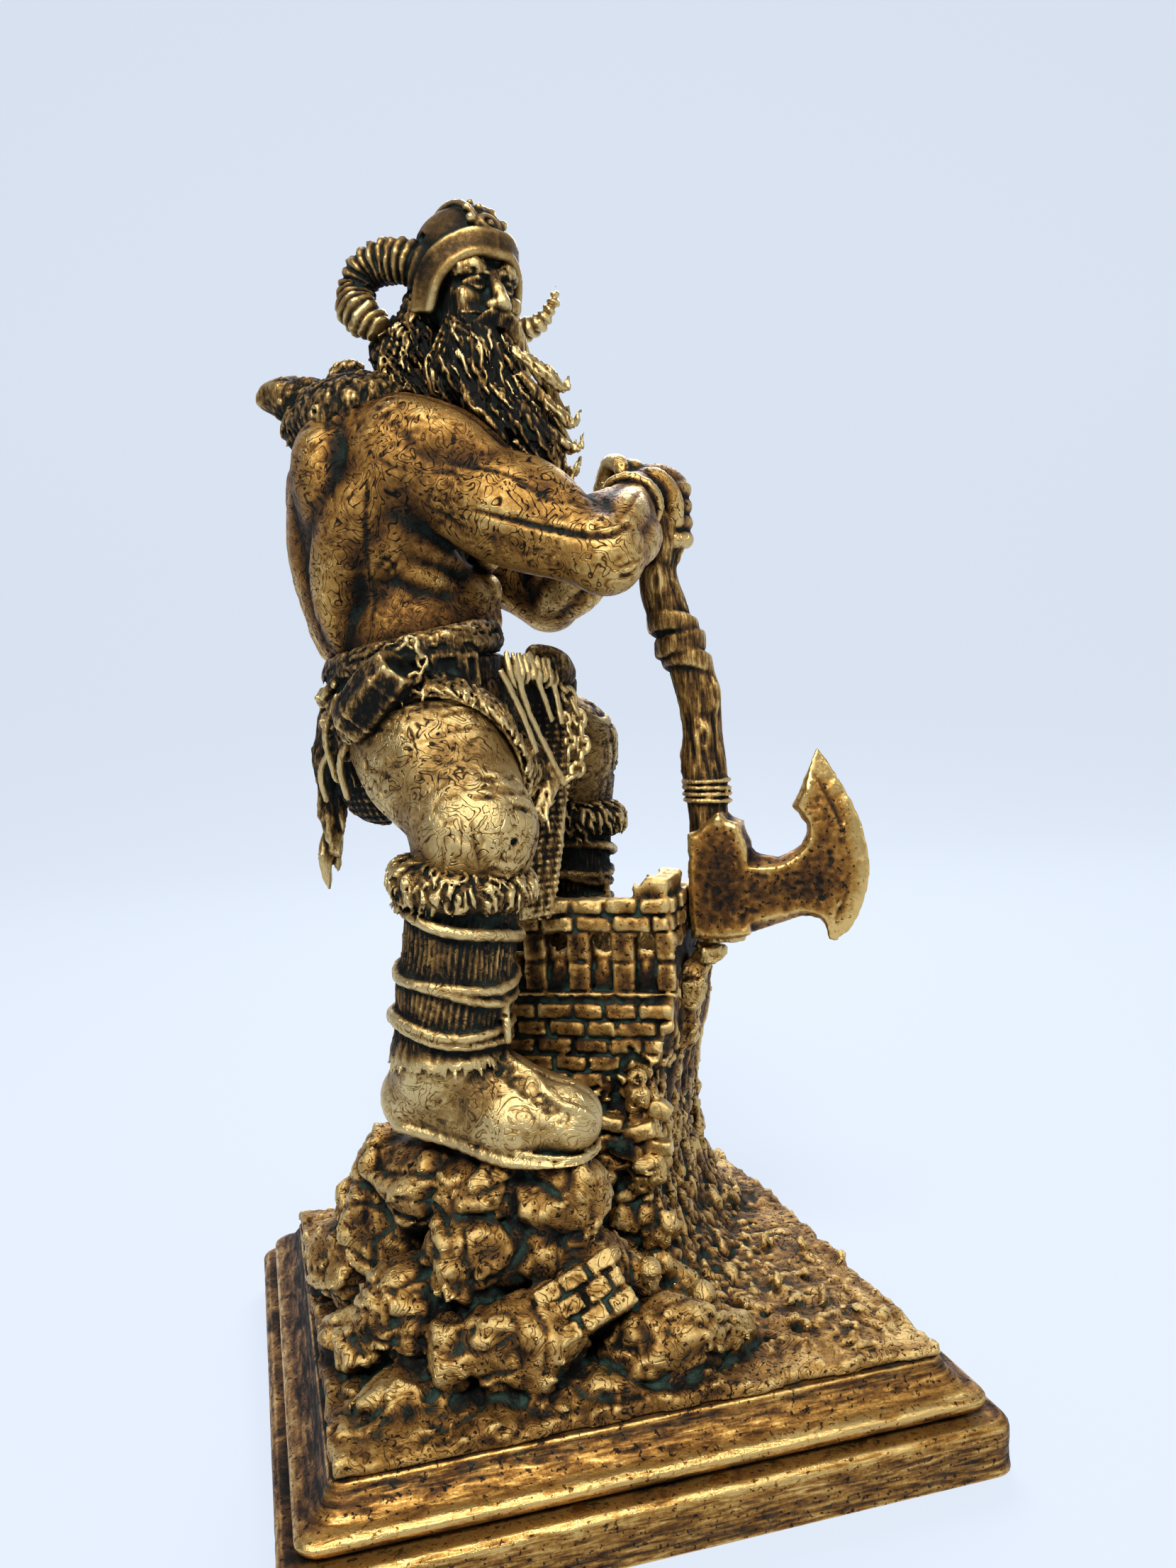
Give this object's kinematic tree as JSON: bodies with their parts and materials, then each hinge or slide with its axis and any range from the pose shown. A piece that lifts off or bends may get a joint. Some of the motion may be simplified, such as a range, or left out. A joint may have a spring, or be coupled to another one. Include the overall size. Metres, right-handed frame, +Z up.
{
  "type": "frost giant statue",
  "caption": "Bearded horned-helmet giant leaning on a bearded axe, one foot on a ruined tower, on a rocky base and square plinth.",
  "frame": {"origin": "centre of the plinth's underside", "axes": "+X to the right along the plinth's front edge, +Y from the front edge to the back, +Z up"},
  "size_m": [0.15, 0.15, 0.2852],
  "materials": {
    "plinth_bronze": "cast resin painted antique bronze, smooth brown with gold rubbed on the edges",
    "rock_bronze": "cast resin painted antique bronze, gritty dark brown with gold dry-brushed on the high spots",
    "figure_bronze": "cast resin painted antique bronze, gold over dark brown with green-black in the recesses",
    "axe_bronze": "cast resin painted antique bronze, brown wood grain and a pitted gold blade"
  },
  "bodies": {
    "root": {"plinth": "plinth_bronze", "scenic_base": "rock_bronze", "giant": "figure_bronze", "axe": "axe_bronze"}
  },
  "joints": []
}
